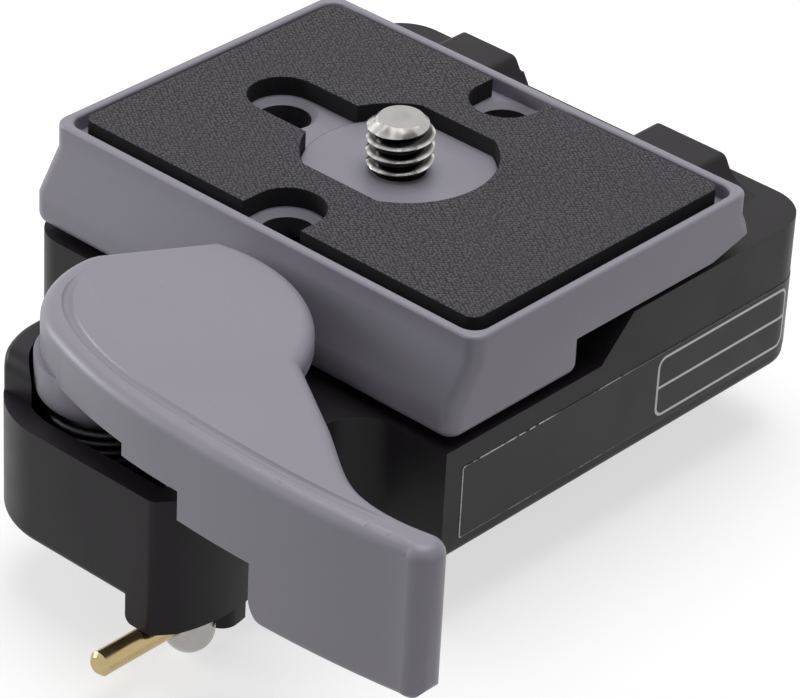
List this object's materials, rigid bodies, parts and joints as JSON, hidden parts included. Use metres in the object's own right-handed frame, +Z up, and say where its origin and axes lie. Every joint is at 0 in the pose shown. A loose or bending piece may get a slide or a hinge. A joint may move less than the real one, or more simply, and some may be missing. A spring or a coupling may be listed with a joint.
{
  "type": "quick release plate",
  "caption": "Camera quick release: a cast base with a cam lever and safety catch clamps a dovetail plate with a rubber pad and a captive camera screw.",
  "frame": {"origin": "centre of the tripod thread's mouth on the base's bottom face, in line with the camera screw", "axes": "+Z up along the camera screw, +Y from the lever towards the claws, +X towards the lever's handle end"},
  "size_m": [0.0702, 0.08, 0.0331],
  "materials": {
    "black_casting": "fine textured black powder coat",
    "grey_casting": "satin grey paint",
    "pad_rubber": "matt with a fine weave",
    "bright_steel": "bright nickel plate",
    "plain_steel": "plain",
    "spring_steel": "drawn wire",
    "brass": "turned",
    "nylon": "matt"
  },
  "bodies": {
    "base": {"base_body": "black_casting", "camera_plate": "grey_casting", "rubber_pad": "pad_rubber", "screw_washer": "nylon", "lever_spring": "spring_steel", "thrust_washer": "nylon", "tripod_bushing": "plain_steel", "reducer_bushing": "plain_steel", "safety_spring": "spring_steel", "trigger_spring": "spring_steel"},
    "lever_arm": {"lever": "grey_casting", "pivot_washer": "plain_steel", "pivot_screw": "plain_steel"},
    "screw": {"camera_screw": "bright_steel"},
    "ring": {"d_ring": "plain_steel"},
    "safety": {"safety_plunger": "bright_steel", "safety_pin": "brass", "safety_clip": "plain_steel"},
    "trigger": {"trigger_pin": "brass", "trigger_clip": "plain_steel"}
  },
  "joints": [
    {"name": "lever_pivot", "type": "hinge", "parent": "base", "child": "lever_arm", "pos_m": [-0.0005, -0.0366, 0.01], "axis": [0, 0, 1], "range_deg": [-90, 0], "stiffness_Nm_per_rad": 0.02, "springref_deg": 34.38},
    {"name": "screw_turn", "type": "hinge", "parent": "base", "child": "screw", "pos_m": [0, 0, 0.015], "axis": [0, 0, 1], "continuous": true},
    {"name": "ring_fold", "type": "hinge", "parent": "screw", "child": "ring", "pos_m": [0, 0, 0.0154], "axis": [1, 0, 0], "range_deg": [0, 30]},
    {"name": "safety_pull", "type": "slide", "parent": "base", "child": "safety", "axis": [0, 0, -1], "range_m": [0, 0.0025], "stiffness_N_per_m": 600, "springref_m": -0.003, "deforming": ["safety_spring"]},
    {"name": "trigger_press", "type": "slide", "parent": "base", "child": "trigger", "axis": [0, 0, -1], "range_m": [0, 0.0006], "stiffness_N_per_m": 300, "springref_m": -0.002, "deforming": ["trigger_spring"]}
  ]
}
